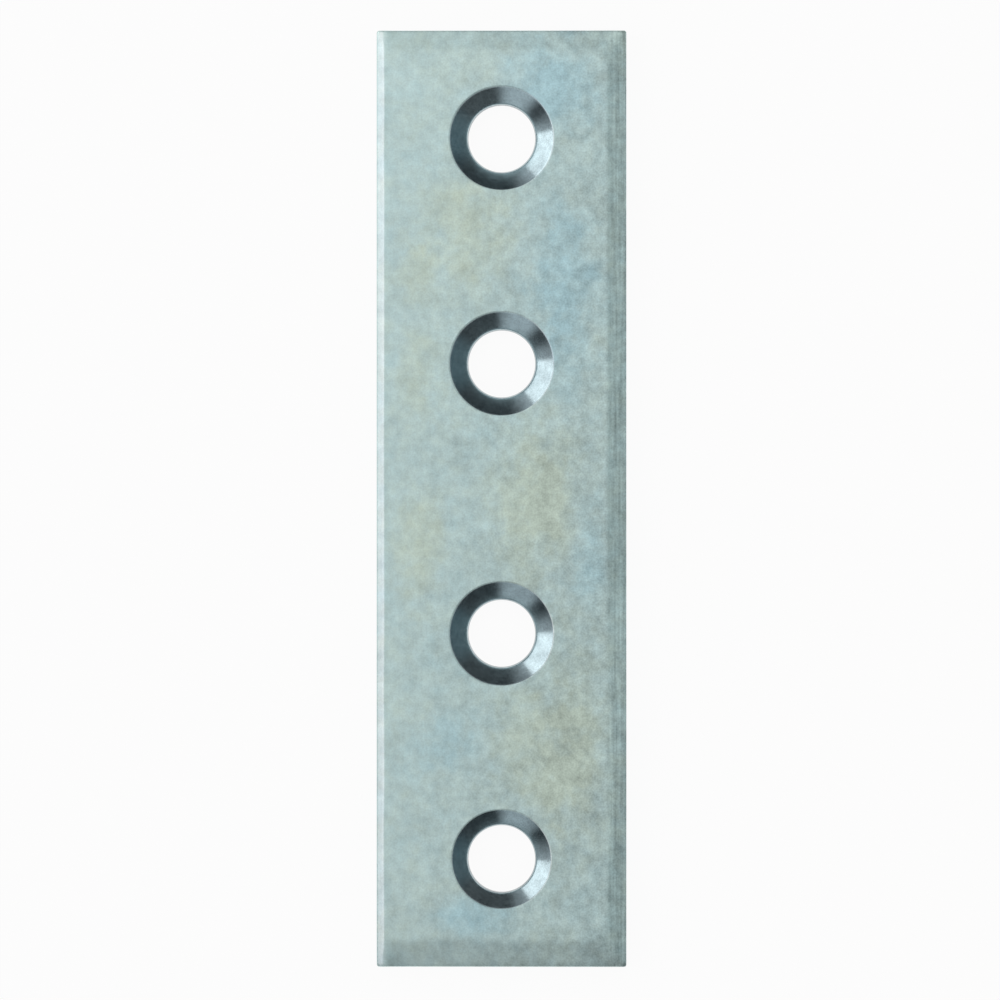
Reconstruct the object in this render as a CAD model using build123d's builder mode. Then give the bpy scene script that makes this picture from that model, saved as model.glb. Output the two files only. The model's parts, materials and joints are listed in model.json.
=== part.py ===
# Mending plate: a flat strip of zinc-plated steel with four countersunk screw holes in a row.
#
# Millimetres. The strip is long in Y and wide in X, and lies on its back face at Z = 0 with the
# origin at that face's centre. Screws go in from above, so the countersinks open towards +Z.

import os

from build123d import *

# The strip
plate_length = 60.0
plate_width = 16.0
plate_thickness = 2.0
corner_radius = 0.15  # the blanking tool's own radius, seen in plan

# Its edges: blanking draws the top face down in a shallow roll, and tumbling breaks the sharp edges
roll_width = 1.1
roll_depth = 0.3
roll_blend = 1.5  # the radius between the flat top and the roll's slope
edge_break = 0.12

# The screw holes, one row on the centre line, two in each half
end_distance = 6.9  # from the end of the strip to its first hole
pair_pitch = 14.45  # from the first hole to the second
hole_diameter = 4.3
sink_diameter = 6.7  # the mouth of the screw head's seat, on the top face
shallow_sink_diameter = 6.4  # the seat at the -Y end is sunk a little less deep
sink_angle = 90.0

first_hole_y = plate_length / 2 - end_distance
second_hole_y = first_hole_y - pair_pitch


def rolled_section(span):
    """Draw the section across a blanked strip: rolled at the top, with its cut walls' ends broken."""
    half_span = span / 2
    roll_start = (half_span - roll_width, plate_thickness)
    wall_top = (half_span, plate_thickness - roll_depth)
    with BuildSketch() as section:
        with BuildLine():
            Polyline((0, 0), (half_span, 0), wall_top, roll_start, (0, plate_thickness))
            mirror(about=Plane.YZ)
        make_face()
        wall_ends = section.vertices().group_by(Axis.X)
        chamfer(wall_ends[0] + wall_ends[-1], edge_break)
        across_top = section.vertices().group_by(Axis.Y)[-1].sort_by(Axis.X)
        fillet([across_top[0], across_top[-1]], roll_blend)
    return section.sketch


section_across = rolled_section(plate_width)
section_along = rolled_section(plate_length)

with BuildPart() as plate:
    # The strip is what the section across it and the section along it have in common
    with BuildSketch(Plane.XZ):
        add(section_across)
    extrude(amount=plate_length / 2, both=True)

    with BuildSketch(Plane.YZ):
        add(section_along)
    extrude(amount=plate_width / 2, both=True, mode=Mode.INTERSECT)

    # Its four upright corners
    fillet(plate.edges().filter_by(Axis.Z), corner_radius)

    # The screw holes, sunk from the top face
    with Locations(
        (0, first_hole_y, plate_thickness),
        (0, second_hole_y, plate_thickness),
        (0, -second_hole_y, plate_thickness),
    ):
        CounterSinkHole(hole_diameter / 2, sink_diameter / 2, counter_sink_angle=sink_angle)
    with Locations((0, -first_hole_y, plate_thickness)):
        CounterSinkHole(hole_diameter / 2, shallow_sink_diameter / 2, counter_sink_angle=sink_angle)

plate.part.label = "plate"

os.makedirs("parts", exist_ok=True)
export_step(plate.part, "parts/plate.step")
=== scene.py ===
import json
import math

import bmesh
import bpy
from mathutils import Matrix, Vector, noise


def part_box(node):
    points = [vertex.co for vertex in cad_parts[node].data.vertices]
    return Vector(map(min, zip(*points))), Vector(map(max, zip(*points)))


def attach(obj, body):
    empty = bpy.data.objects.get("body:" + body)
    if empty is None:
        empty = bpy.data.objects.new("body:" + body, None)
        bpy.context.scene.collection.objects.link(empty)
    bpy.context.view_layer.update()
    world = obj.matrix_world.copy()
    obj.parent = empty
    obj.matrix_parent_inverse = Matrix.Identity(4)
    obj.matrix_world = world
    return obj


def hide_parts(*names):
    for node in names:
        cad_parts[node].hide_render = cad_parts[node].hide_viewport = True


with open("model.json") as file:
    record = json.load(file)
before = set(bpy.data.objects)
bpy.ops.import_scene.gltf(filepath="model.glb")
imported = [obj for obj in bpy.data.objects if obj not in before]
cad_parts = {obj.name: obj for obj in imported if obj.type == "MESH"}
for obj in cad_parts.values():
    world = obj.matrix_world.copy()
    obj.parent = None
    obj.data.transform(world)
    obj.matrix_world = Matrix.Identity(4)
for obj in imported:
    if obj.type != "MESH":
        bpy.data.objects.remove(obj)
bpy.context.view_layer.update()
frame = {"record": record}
print("stage 1: frame loaded")

tiny = 1e-6  # two places this close, in metres, count as one


class Field:
    # one output socket of a node tree: sums on it become Math nodes, and node() adds any other
    def __init__(self, tree, link=None):
        self.tree = tree
        self.link = link

    def node(self, kind, settings=None, sockets=None, output=0):
        made = self.tree.nodes.new("ShaderNode" + kind)
        for name, value in (settings or {}).items():
            if name == "stops":
                ramp = made.color_ramp
                ramp.elements.remove(ramp.elements[1])
                ramp.elements[0].position, ramp.elements[0].color = value[0]
                for spot, tint in value[1:]:
                    ramp.elements.new(spot).color = tint
            else:
                setattr(made, name, value)
        for name, value in (sockets or {}).items():
            if isinstance(value, Field):
                self.tree.links.new(value.link, made.inputs[name])
            else:
                made.inputs[name].default_value = value
        return Field(self.tree, made.outputs[output] if made.outputs else None)

    def part(self, output):
        # another output of the node that this one comes from
        return Field(self.tree, self.link.node.outputs[output])

    def sum(self, operation, first, second=None):
        terms = {i: term for i, term in enumerate((first, second)) if term is not None}
        return self.node("Math", {"operation": operation}, terms)

    def __add__(self, other):
        return self.sum("ADD", self, other)

    def __sub__(self, other):
        return self.sum("SUBTRACT", self, other)

    def __rsub__(self, other):
        return self.sum("SUBTRACT", other, self)

    def __mul__(self, other):
        return self.sum("MULTIPLY", self, other)

    def __truediv__(self, other):
        return self.sum("DIVIDE", self, other)

    def least(self, other):
        return self.sum("MINIMUM", self, other)

    def most(self, other):
        return self.sum("MAXIMUM", self, other)

    def step(self, start, end):
        # 0 up to start, 1 from end on, and smooth between
        sockets = {0: self, 1: start, 2: end, 3: 0.0, 4: 1.0}
        return self.node("MapRange", {"interpolation_type": "SMOOTHSTEP"}, sockets)

    def blend(self, below, above, kind="MIX"):
        # a colour that goes from below to above as this field goes from 0 to 1
        settings = {"data_type": "RGBA", "blend_type": kind}
        return self.node("Mix", settings, {0: self, 6: below, 7: above}, output=2)


def colour(red, green, blue):
    return (red, green, blue, 1.0)


def grey(level):
    return colour(level, level, level)


# The plate's sizes that the frame doesn't state, in metres and degrees
plate = {
    "node": "plate",
    "slot": "zinc_plate",
    "points": 96,  # round each hole, a multiple of 8
    "margin": 0.0026,  # from the outline in to where the flat cells round the holes begin
    # the rolled edge: one section, which each side of the plate draws in by its own width
    "rollWidth": 0.0011,
    "rollDepth": 0.0003,
    "rollBlend": 0.0015,
    "rollSteps": 5,  # in the blend from the flat top, and again down the roll's slope
    "rollWidths": {"left": 0.00046, "right": 0.00115, "front": 0.0017, "back": 0.00125},
    "rollCorners": {"left": 0.0002, "right": 0.0013},  # its corner radius in plan, where it begins
    "wander": 0.07,  # the share by which the roll wanders along an edge
    "wanderScale": 260.0,  # the noise's units to a metre
    "wanderSeed": 3.7,
    "leftShallow": 0.13,  # the share of its depth that the roll lacks along the left edge
    "endShallow": 0.5,  # the share that the end rolls lose where they meet the left edge
    "endShallowReach": 0.0016,
    "rightShallow": 0.55,  # the share that the roll loses low on the right edge
    "rightShallowFrom": 0.004,  # the y where that begins
    "rightShallowRise": 0.018,  # how far it takes to come about, towards the front
    "rightShallowFall": 0.008,  # and to end, before the front corner
    # the broken edges and the upright corners
    "edgeBreak": 0.00012,
    "cornerRadius": 0.00015,
    "cornerSteps": 5,  # from each corner's middle to where the straight edge begins
    "cornerEase": 0.003,  # how far from a corner the points along an edge make room for it
    "besideCorner": 0.0015,  # how far along the edges the points are closer together
    "besideSteps": 4,
    # the holes
    "ease": 0.00006,  # how far each sharp edge of a hole is eased
    "sinkSlope": 40.0,  # degrees down from the face, over most of a countersink's wall
    "sinkFoot": 0.00006,  # how wide the steeper foot of that wall is, next to the bore
    # the extra points that keep a wall's shading straight between its eased ends
    "sinkHold": 0.1,  # from either end of a countersink's wall, as a share of it
    "topHold": 1.0,  # below the cut wall's broken edge, in edge breaks
    "backHold": 1.4,  # above the plate's back, in edge breaks
}

low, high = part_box(plate["node"])
top = high.z
holes = [
    {
        "y": mount["pos_m"][1],
        "bore": mount["dims"]["r_mm"] / 1000,
        "mouth": mount["dims"]["r_mm"] / 1000 + top - mount["dims"]["length_mm"] / 1000,
        "throat": mount["dims"]["length_mm"] / 1000,
    }
    for mount in frame["record"]["mounts"]
    if mount["kind"] == "bore"
]
holes.sort(key=lambda hole: hole["y"])


def smooth(value):
    value = min(max(value, 0), 1)
    return value * value * (3 - 2 * value)


def easedCorner(before, corner, after, reach, steps=3):
    # points of the small curve that replaces a section's corner
    start = corner + (before - corner).normalized() * reach
    end = corner + (after - corner).normalized() * reach
    shares = [i / steps for i in range(steps + 1)]
    return [start * (1 - t) ** 2 + corner * 2 * t * (1 - t) + end * t ** 2 for t in shares]


def growRing(bm, ring, place):
    # extrudes a closed ring of edges and moves each new point to where place() puts it
    made = bmesh.ops.extrude_edge_only(bm, edges=ring)["geom"]
    for vert in [item for item in made if isinstance(item, bmesh.types.BMVert)]:
        vert.co = place(vert)
    return [item for item in made if isinstance(item, bmesh.types.BMEdge)]


def cutHole(bm, hole, cellLow, cellHigh, halfCell):
    # one cell of the strip: its top, the countersink, the bore and its back, as rings
    def onCircle(radius, height):
        def place(vert):
            angle = math.atan2(vert.co.y - hole["y"], vert.co.x)
            y = hole["y"] + math.sin(angle) * radius
            return Vector((math.cos(angle) * radius, y, height))
        return place

    def onCell(height):
        def place(vert):
            angle = math.atan2(vert.co.y - hole["y"], vert.co.x)
            reach = max(abs(math.cos(angle)), abs(math.sin(angle)))
            across = math.cos(angle) / reach
            along = math.sin(angle) / reach
            span = cellHigh - hole["y"] if along > 0 else hole["y"] - cellLow
            return Vector((across * halfCell, hole["y"] + along * span, height))
        return place

    # the section from the top face in to the bore and out again at the back
    outer = Vector((hole["mouth"] * 2, top))
    mouth = Vector((hole["mouth"], top))
    waist = Vector((hole["bore"] + plate["sinkFoot"], 0))
    waist.y = top - (mouth.x - waist.x) * math.tan(math.radians(plate["sinkSlope"]))
    throat = Vector((hole["bore"], hole["throat"]))
    foot = Vector((hole["bore"], 0))
    under = Vector((hole["mouth"], 0))
    ease = plate["ease"]
    hold = plate["sinkHold"]
    section = easedCorner(outer, mouth, waist, ease)
    section += [mouth.lerp(waist, hold), mouth.lerp(waist, 1 - hold)]
    section += easedCorner(mouth, waist, throat, ease)
    section += easedCorner(waist, throat, foot, ease)
    section += easedCorner(throat, foot, under, ease)

    made = bmesh.ops.create_circle(bm, segments=plate["points"], radius=section[0].x)["verts"]
    for vert in made:
        vert.co = vert.co + Vector((0, hole["y"], section[0].y))
    start = list(dict.fromkeys(edge for vert in made for edge in vert.link_edges))
    growRing(bm, start, onCell(top))
    ring = start
    for point in section[1:]:
        ring = growRing(bm, ring, onCircle(point.x, point.y))
    growRing(bm, ring, onCell(0))


def crowdCorners(bm, halfCell, cellEnd):
    # more points beside each corner of the cells' outline, for the corner radius to bend round
    def isCorner(vert):
        return abs(abs(vert.co.x) - halfCell) < tiny and abs(abs(vert.co.y) - cellEnd) < tiny

    def isBeside(vert):
        short = (halfCell - abs(vert.co.x), cellEnd - abs(vert.co.y))
        return max(short) < plate["besideCorner"]

    for corner in [vert for vert in bm.verts if isCorner(vert)]:
        for edge in [edge for edge in corner.link_edges if edge.is_boundary]:
            share = plate["cornerRadius"] / edge.calc_length()
            for left in range(plate["cornerSteps"], 0, -1):
                edge = bmesh.utils.edge_split(edge, corner, share)[0]
                share = (left - 1) / left

    beside = [edge for edge in bm.edges if edge.is_boundary and all(map(isBeside, edge.verts))]
    for edge in beside:
        if edge.calc_length() > plate["cornerRadius"]:
            start = edge.verts[0]
            for left in range(plate["besideSteps"] - 1, 0, -1):
                edge = bmesh.utils.edge_split(edge, start, left / (left + 1))[0]


def rollBegin():
    # the roll's slope as an angle, and how far in from the wall the flat top begins to bend
    slope = math.atan2(plate["rollDepth"], plate["rollWidth"])
    return slope, plate["rollWidth"] + plate["rollBlend"] * math.tan(slope / 2)


def rollDrop(inset):
    # how far the rolled top has dropped at this inset from the wall: a blend, then a slope
    slope, start = rollBegin()
    blend = plate["rollBlend"]
    bent = start - inset
    if bent <= 0:
        return 0
    if bent < blend * math.sin(slope):
        return blend - math.sqrt(blend * blend - bent * bent)
    return plate["rollDepth"] - inset * math.tan(slope)


def rollSection():
    # the roll from the flat top to the wall, as pairs of inset and drop, with its edge broken
    slope, start = rollBegin()
    steps = plate["rollSteps"]
    bendEnd = start - plate["rollBlend"] * math.sin(slope)
    brokenStart = plate["edgeBreak"] * math.cos(slope)
    insets = [start - plate["rollBlend"] * math.sin(slope * i / steps) for i in range(steps + 1)]
    insets += [bendEnd + (brokenStart - bendEnd) * i / steps for i in range(1, steps)]
    curve = [Vector((inset, rollDrop(inset))) for inset in insets]
    broken = Vector((brokenStart, rollDrop(brokenStart)))
    wall = Vector((0, plate["rollDepth"] + plate["edgeBreak"]))
    eased = easedCorner(broken, Vector((0, plate["rollDepth"])), wall, plate["edgeBreak"])
    return curve + eased + [wall + Vector((0, plate["edgeBreak"] * plate["topHold"]))]


def rollEdges(bm, halfCell, cellEnd):
    # the edge all round: from the flat top out over the roll, down the wall and in under the back
    sharp = plate["cornerRadius"]
    roomy = plate["cornerEase"]
    home = bm.verts.layers.float_vector.new("home")
    ring = [
        edge for edge in bm.edges
        if edge.is_boundary and all(abs(vert.co.z - top) < tiny for vert in edge.verts)
    ]
    for edge in ring:
        for vert in edge.verts:
            vert[home] = vert.co

    def rollShape(at, far):
        # how much wider than its section the roll is towards x and towards y, how it wanders,
        # and how shallow it is
        widths = plate["rollWidths"]
        across = widths["right" if at.x > 0 else "left"] / plate["rollWidth"]
        along = widths["back" if at.y > 0 else "front"] / plate["rollWidth"]
        scale = plate["wanderScale"]
        wave = noise.noise(Vector((at.x * scale, at.y * scale, plate["wanderSeed"])))
        wander = 1 + plate["wander"] * smooth((far - sharp) / roomy) * wave
        shallow = 0
        if at.x > halfCell - tiny:
            begun = smooth((plate["rightShallowFrom"] - at.y) / plate["rightShallowRise"])
            lasts = smooth((at.y + cellEnd) / plate["rightShallowFall"])
            shallow = plate["rightShallow"] * begun * lasts
        return Vector((across, along)), wander, shallow

    def leftDrop(away, widths, stretch):
        # at the left the two rolls run on through each other, and their drops add up
        drops = [rollDrop(away[i] / widths[i] / stretch[i]) * stretch[i] for i in (0, 1)]
        ended = plate["endShallow"] * smooth(1 - away.x / plate["endShallowReach"])
        return drops[0] * (1 - plate["leftShallow"]) + drops[1] * (1 - ended)

    def placeAt(inset, drop, begun=0, follows=False):
        # begun is 1 where the roll begins and 0 at the wall, and follows says whether the point
        # goes with the roll's shape
        def place(vert):
            at = vert[home]
            short = Vector((halfCell - abs(at.x), cellEnd - abs(at.y)))
            far = max(short)
            widths, wander, shallow = rollShape(at, far) if follows else (Vector((1, 1)), 1, 0)
            gaps = widths * inset
            spot = high.xy - gaps
            stretch = Vector((1, 1))
            radius = plate["rollCorners"]["right" if at.x > 0 else "left"]
            radius = sharp + (radius - sharp) * begun
            if far < sharp + tiny:
                turn = math.radians(45 * (1 + (short.x - short.y) / sharp))
                spot += radius * Vector((math.cos(turn) - 1, math.sin(turn) - 1))
            else:
                # along the straight edge, and near a corner drawn along to make room for it
                side = 0 if short.x > short.y else 1
                reach = plate["margin"] - gaps[side] + max(far, roomy)
                share = min((far - sharp) / (roomy - sharp), 1)
                stretch[1 - side] = wander
                spot[side] -= radius + (reach - radius) * share
                spot[1 - side] -= gaps[1 - side] * (wander - 1)
            dropped = drop * wander * (1 - shallow)
            if follows and at.x < 0:
                dropped = leftDrop(high.xy - spot, widths, stretch)
                dropped += (drop - rollDrop(inset)) * wander
            x = math.copysign(spot.x, at.x)
            y = math.copysign(spot.y, at.y)
            return Vector((x, y, top - dropped))
        return place

    section = rollSection()
    for point in section:
        begun = point.x / section[0].x
        ring = growRing(bm, ring, placeAt(point.x, point.y, begun, follows=True))
    foot = plate["edgeBreak"]
    ring = growRing(bm, ring, placeAt(0, top - foot * plate["backHold"]))
    for point in easedCorner(Vector((0, top)), Vector((0, 0)), Vector((high.x, 0)), foot):
        ring = growRing(bm, ring, placeAt(point.x, top - point.y))
    growRing(bm, ring, lambda vert: Vector((vert[home].x, vert[home].y, 0)))
    bm.verts.layers.float_vector.remove(home)


def makePlate():
    bm = bmesh.new()
    halfCell = high.x - plate["margin"]
    cellEnd = high.y - plate["margin"]
    ends = [-cellEnd]
    ends += [(a["y"] + b["y"]) / 2 for a, b in zip(holes, holes[1:])]
    ends += [cellEnd]
    for hole, cellLow, cellHigh in zip(holes, ends, ends[1:]):
        cutHole(bm, hole, cellLow, cellHigh, halfCell)
    bmesh.ops.remove_doubles(bm, verts=bm.verts, dist=tiny)
    crowdCorners(bm, halfCell, cellEnd)
    rollEdges(bm, halfCell, cellEnd)
    bmesh.ops.remove_doubles(bm, verts=bm.verts, dist=tiny)
    bmesh.ops.recalc_face_normals(bm, faces=bm.faces)
    openEdges = sum(1 for edge in bm.edges if not edge.is_manifold)

    # the faces' order would otherwise differ from run to run
    def order(face):
        first, second, third = sorted(vert.index for vert in face.verts)[:3]
        return (first * count + second) * count + third
    count = len(bm.verts)
    bm.verts.index_update()
    bm.faces.sort(key=order)
    mesh = bpy.data.meshes.new("plateBody")
    bm.to_mesh(mesh)
    bm.free()
    mesh.shade_smooth()
    piece = bpy.data.objects.new("plateBody", mesh)
    bpy.context.scene.collection.objects.link(piece)
    normals = piece.modifiers.new("faceNormals", "WEIGHTED_NORMAL")
    normals.weight = 100
    normals.keep_sharp = True
    print("plate faces", len(mesh.polygons), "open edges", openEdges)
    return piece


plateBody = makePlate()
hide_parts(plate["node"])
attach(plateBody, "root")
print("stage 2: plate made")


# Bright zinc plating, and the passivation film on it that turns from blue to straw. Lengths are
# in millimetres, and a cloud of noise is its size, detail and seed, with how strong it is last.
zinc = {
    "blue": colour(0.393, 0.568, 0.61),
    "plain": colour(0.462, 0.592, 0.584),
    "straw": colour(0.498, 0.592, 0.515),
    # painted shade: the countersinks' colour is a little darker than the face's, and the bores'
    # far darker, for the shade inside the holes
    "sink": colour(0.445, 0.54, 0.567),
    "bore": colour(0.17, 0.21, 0.23),
    # the film: clouds everywhere, and patches with ragged edges
    "tints": [(0.35, 1.0, 1.3, 0.45), (0.9, 1.0, 7.9, 0.9), (3.0, 2.0, 5.5, 0.9)],
    "ragged": [(1.6, 3.0, 4.1, 1.8)],
    "patchEdge": (0.1, 1.2),  # where a patch begins to fade and is gone, in its own reaches
    # where the film is thicker or thinner: x, y, the reach both ways, how far to straw or blue
    "film": [
        (-2.2, 17.4, 3.6, 3.6, 1.0),
        (-5.3, 14.4, 2.0, 2.4, 0.7),
        (-5.3, 8.0, 2.0, 3.0, 0.75),
        (2.1, -0.2, 3.0, 6.6, 1.05),
        (-5.4, -3.2, 1.9, 4.4, 0.8),
        (2.4, -16.6, 3.6, 5.8, 0.85),
        (3.2, 26.0, 4.2, 3.8, -0.9),
        (4.0, 13.5, 3.0, 6.6, -0.95),
        (5.6, -3.6, 1.6, 4.4, -0.7),
        (4.9, -16.0, 2.6, 10.0, 0.55),
        (-3.5, -15.8, 2.4, 2.2, -0.6),
        (-1.6, -26.6, 2.6, 1.8, -0.8),
    ],
    # how bright the plating is, with painted shade and painted light in its broad slopes
    "across": -0.085,  # painted shade: how much brighter or darker at the right edge, away from the light at the left
    "along": 0.07,  # painted light: and at the back end
    "mottle": [
        (0.11, 0.0, 2.2, 0.33),
        (0.28, 0.0, 5.3, 0.21),
        (0.65, 0.0, 8.4, 0.34),
        (1.6, 0.0, 11.5, 0.27),
    ],
    "mottleAcross": 0.3,  # by what share the mottle is stronger at the right edge
    # the rolling lines, which are clouds drawn out along the plate
    "line": [(0.15, 1.0, 9.4, 1.0)],
    "lineDrawn": 0.03,  # a line's width over its length
    "lines": 0.07,  # how strong they are on the flat face
    "edgeLines": 0.75,  # and on the rolled right edge
    "edgeFrom": (6.6, 7.3),  # the x where that edge's begin, and where they are full
    # how rough it is
    "roughness": 0.34,
    "sinkRoughness": 0.17,
    "grain": [(0.22, 2.0, 2.2, 1.0)],
    "grainRoughness": 0.08,  # how much the grain adds and takes
    "bump": 0.2,
    "bumpHeight": 0.00002,  # in metres
    "sinkSmooth": 0.8,  # the share of the bump that a countersink's wall lacks
    # where the countersinks' and bores' darker colours, which are painted shade, begin and are
    # full
    "sinkInside": (-0.06, 0.0),  # outside the mouth
    "sinkAbove": (0.02, 0.1),  # above the back
    "boreInside": (0.01, 0.05),  # outside the bore
}


def zincMaterial():
    material = bpy.data.materials.new("zincPlating")
    material.use_nodes = True
    tree = material.node_tree
    tree.nodes.clear()
    root = Field(tree)
    place = root.node("TexCoord", output=3)
    millimetres = root.node("VectorMath", {"operation": "SCALE"}, {0: place, "Scale": 1000.0})
    across = root.node("SeparateXYZ", None, {0: millimetres})
    along = across.part(1)
    height = across.part(2)

    def clouds(rows, at=millimetres):
        # the sum of these clouds, which is about 0 on average
        total = None
        for size, detail, seed, strength in rows:
            sockets = {"Vector": at, "W": seed, "Scale": 1 / size, "Detail": detail}
            cloud = root.node("TexNoise", {"noise_dimensions": "4D"}, sockets)
            cloud = (cloud - 0.5) * strength
            total = total + cloud if total else cloud
        return total

    def length(first, second):
        return root.sum("SQRT", first * first + second * second)

    def outside(circle):
        # how far each point lies outside the nearest hole's mouth or bore
        nearest = None
        for hole in holes:
            away = length(across, along - hole["y"] * 1000) - hole[circle] * 1000
            nearest = nearest.least(away) if nearest else away
        return nearest

    sunk = (1 - outside("mouth").step(*zinc["sinkInside"])) * height.step(*zinc["sinkAbove"])
    boreShadeMask = 1 - outside("bore").step(*zinc["boreInside"])

    ragged = clouds(zinc["ragged"])
    tint = clouds(zinc["tints"])
    for x, y, reachX, reachY, turn in zinc["film"]:
        away = length((across - x) / reachX, (along - y) / reachY) + ragged
        tint = tint + (1 - away.step(*zinc["patchEdge"])) * turn
    stops = [(0.0, zinc["blue"]), (0.5, zinc["plain"]), (1.0, zinc["straw"])]
    base = root.node("ValToRGB", {"stops": stops}, {0: tint * 0.5 + 0.5})
    # the countersinks and bores take their painted shade
    base = sunk.blend(base, boreShadeMask.blend(zinc["sink"], zinc["bore"]))

    halfWidth = high.x * 1000
    halfLength = high.y * 1000
    # painted shade towards the right edge and painted light towards the back end
    tone = across * (zinc["across"] / halfWidth) + along * (zinc["along"] / halfLength) + 1
    tone = tone + clouds(zinc["mottle"]) * (across * (zinc["mottleAcross"] / halfWidth) + 1)
    stretch = (1.0, zinc["lineDrawn"], 1.0)
    drawn = root.node("VectorMath", {"operation": "MULTIPLY"}, {0: millimetres, 1: stretch})
    edgeOnly = zinc["edgeLines"] - zinc["lines"]
    lines = across.step(*zinc["edgeFrom"]) * edgeOnly + zinc["lines"]
    tone = tone + clouds(zinc["line"], drawn) * lines * (1 - sunk)
    toned = root.node("CombineColor", None, {0: tone, 1: tone, 2: tone})
    multiply = {"data_type": "RGBA", "blend_type": "MULTIPLY"}
    base = root.node("Mix", multiply, {0: 1.0, 6: base, 7: toned}, output=2)

    grain = clouds(zinc["grain"])
    roughness = sunk * (zinc["sinkRoughness"] - zinc["roughness"]) + zinc["roughness"]
    roughness = roughness + grain * zinc["grainRoughness"]
    relief = (grain + 0.5) * (1 - sunk * zinc["sinkSmooth"])
    sockets = {"Strength": zinc["bump"], "Distance": zinc["bumpHeight"], "Height": relief}
    bump = root.node("Bump", None, sockets)
    surface = root.node(
        "BsdfPrincipled", None,
        {"Base Color": base, "Metallic": 1.0, "Roughness": roughness, "Normal": bump},
    )
    root.node("OutputMaterial", None, {"Surface": surface})
    return material


plateBody.data.materials.append(zincMaterial())
print("stage 3: plating made")


# The studio: a white floor, a soft sky that is brighter to the left, and a low soft box at the
# left. The sky's places are heights: 0 at the horizon and 1 straight above.
studio = {
    "floorReach": 4.0,
    "floorGap": 0.00002,  # keeps the floor and the plate's back from being one plane
    "floorPaint": 0.75,
    "floorGlow": 0.943,
    # white at the horizon, a dark room above it, then the soft sky
    "sky": [
        (0.015, grey(0.975)),
        (0.03, colour(0.02, 0.028, 0.033)),
        (0.25, colour(0.02, 0.028, 0.033)),
        (0.35, grey(0.75)),
        (0.47, grey(0.95)),
        (0.7, grey(0.95)),
        (1.0, grey(1.0)),
    ],
    "upperSky": (0.3, 0.5),  # where the sky begins to differ from side to side, and does in full
    # how it differs: towards which side, from where to where, and what multiplies it
    "sides": [
        ("left", 0.35, 0.6, colour(1.76, 1.53, 1.59)),
        ("right", 0.05, 0.3, colour(0.55, 0.59, 0.59)),
        ("right", 0.36, 0.6, colour(1.35, 1.28, 1.28)),
        ("front", 0.1, 0.32, colour(0.6, 0.605, 0.61)),
        ("back", 0.15, 0.45, colour(0.86, 0.87, 0.87)),
    ],
    # what glows softly low in the dark room: degrees from -X towards +Y, the reach, the colour
    "glows": [
        (24.0, 58.0, colour(0.56, 0.59, 0.61)),
        (-67.0, 31.0, colour(0.53, 0.575, 0.6)),
        (180.0, 42.0, colour(0.05, 0.09, 0.105)),
    ],
    "glowBottom": (0.015, 0.04),
    "glowTop": (0.25, 0.37),
    "boxDegrees": 24.0,  # from -X towards +Y
    "boxDistance": 0.45,
    "boxWidth": 0.46,
    "boxHeight": 0.075,
    "boxBottom": 0.062,
    "boxLevel": 1.33,  # where white paper is 1
}


def rayMask(root):
    # 1 for what is seen by the camera, in a reflection or through something clear
    def ray(output):
        return root.node("LightPath", output=output)
    return ray(0).most(ray(3)).most(ray(6))


def makeFloor():
    bm = bmesh.new()
    bmesh.ops.create_grid(bm, x_segments=1, y_segments=1, size=studio["floorReach"])
    mesh = bpy.data.meshes.new("floor")
    bm.to_mesh(mesh)
    bm.free()
    floor = bpy.data.objects.new("floor", mesh)
    floor.location.z = low.z - studio["floorGap"]
    bpy.context.scene.collection.objects.link(floor)
    material = bpy.data.materials.new("floorWhite")
    material.use_nodes = True
    tree = material.node_tree
    tree.nodes.clear()
    root = Field(tree)
    paint = studio["floorPaint"]
    shine = studio["floorGlow"]
    plain = root.node("BsdfDiffuse", None, {"Color": grey(paint)})
    shaded = root.node("BsdfDiffuse", None, {"Color": grey(paint * (1 - shine))})
    glow = root.node("Emission", None, {"Color": grey(1.0), "Strength": shine})
    seen = root.node("AddShader", None, {0: shaded, 1: glow})
    above = root.node("MixShader", None, {0: rayMask(root), 1: plain, 2: seen})
    # seen from below, the floor isn't there
    backfacing = root.node("NewGeometry", output=6)
    clear = root.node("BsdfTransparent")
    surface = root.node("MixShader", None, {0: backfacing, 1: above, 2: clear})
    root.node("OutputMaterial", None, {"Surface": surface})
    mesh.materials.append(material)


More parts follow.
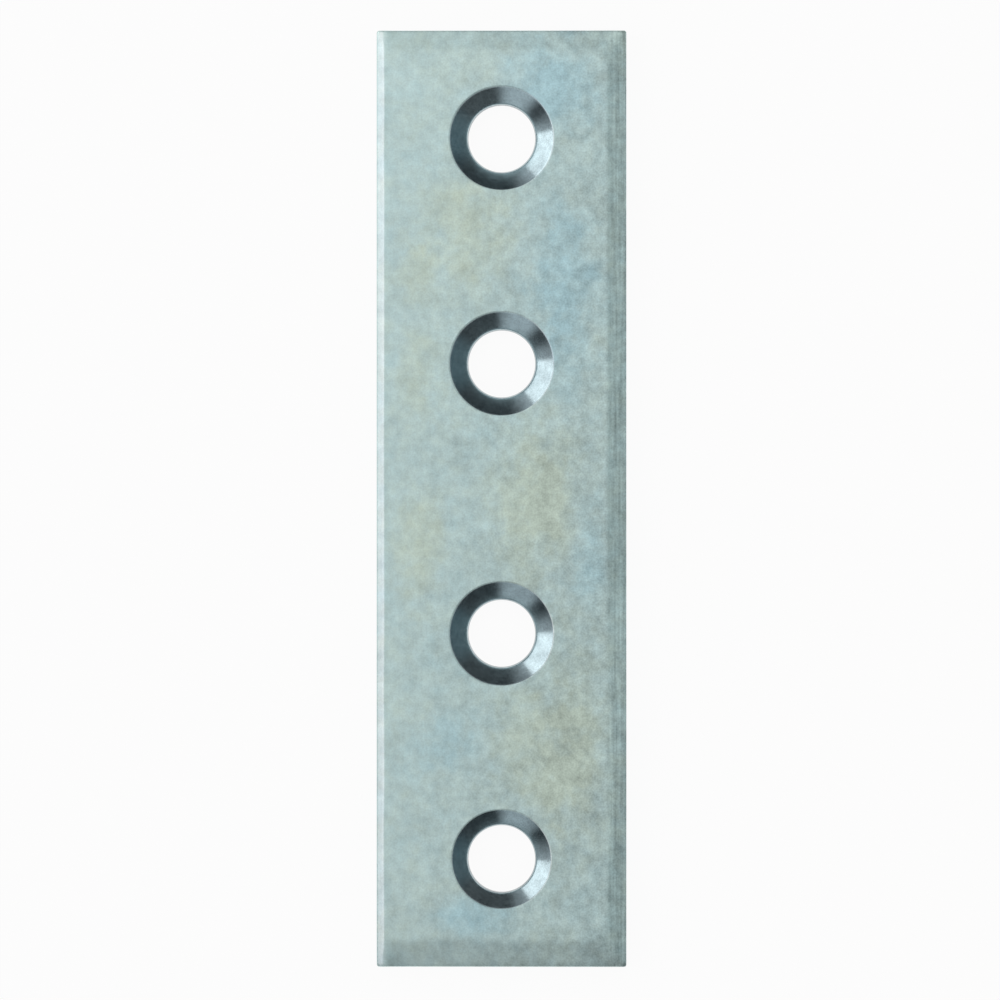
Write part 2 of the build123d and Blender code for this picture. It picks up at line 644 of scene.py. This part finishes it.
def makeWorld():
    world = bpy.data.worlds.new("studio")
    bpy.context.scene.world = world
    world.use_nodes = True
    tree = world.node_tree
    tree.nodes.clear()
    root = Field(tree)
    right = root.node("SeparateXYZ", None, {0: root.node("TexCoord")})
    back = right.part(1)
    rise = right.part(2)
    towards = {"left": 0 - right, "right": right, "front": 0 - back, "back": back}
    sky = root.node("ValToRGB", {"stops": studio["sky"]}, {0: rise})
    upper = rise.step(*studio["upperSky"])
    for side, start, end, tint in studio["sides"]:
        sky = (towards[side].step(start, end) * upper).blend(sky, tint, "MULTIPLY")
    level = root.sum("SQRT", 1 - rise * rise)
    band = rise.step(*studio["glowBottom"]) * (1 - rise.step(*studio["glowTop"]))
    for degrees, reach, tint in studio["glows"]:
        turn = math.radians(degrees)
        facing = (back * math.sin(turn) - right * math.cos(turn)) / level
        sky = (facing.step(math.cos(math.radians(reach)), 1.0) * band).blend(sky, tint, "ADD")
    light = root.node("Background", None, {"Color": sky, "Strength": 1.0})
    root.node("OutputWorld", None, {"Surface": light})


def makeSoftBox():
    lamp = bpy.data.lights.new("softBox", "AREA")
    lamp.shape = "RECTANGLE"
    lamp.size = studio["boxWidth"]
    lamp.size_y = studio["boxHeight"]
    lamp.energy = studio["boxLevel"] * math.pi * lamp.size * lamp.size_y
    holder = bpy.data.objects.new("softBox", lamp)
    turn = math.radians(studio["boxDegrees"])
    holder.location = Vector((-math.cos(turn), math.sin(turn), 0)) * studio["boxDistance"]
    holder.location.z = studio["boxBottom"] + studio["boxHeight"] / 2
    holder.rotation_euler = (-holder.location).to_track_quat("-Z", "Y").to_euler()
    bpy.context.scene.collection.objects.link(holder)


makeFloor()
makeWorld()
makeSoftBox()
print("stage 4: studio made")


# The camera looks down on the plate from very slightly to its right
camera = {
    "lens": 300.0,
    "sensor": 36.0,
    "fill": 0.9369,  # the share of the frame's height that the plate's length takes
    "lean": 1.0,  # degrees to the right of straight above
    "offset": (-0.00009, -0.000085),
    "clipStart": 0.01,
    "clipEnd": 20.0,
}


def makeCamera():
    data = bpy.data.cameras.new("camera")
    data.lens = camera["lens"]
    data.sensor_width = camera["sensor"]
    data.clip_start = camera["clipStart"]
    data.clip_end = camera["clipEnd"]
    distance = (high.y - low.y) / camera["fill"] * data.lens / data.sensor_width
    target = Vector((*camera["offset"], top))
    lean = math.radians(camera["lean"])
    holder = bpy.data.objects.new("camera", data)
    holder.location = target + Vector((math.sin(lean), 0, math.cos(lean))) * distance
    holder.rotation_euler = (0, lean, 0)
    bpy.context.scene.collection.objects.link(holder)
    bpy.context.scene.camera = holder


makeCamera()
bpy.context.scene.view_settings.view_transform = "Standard"
print("stage 5: camera made")
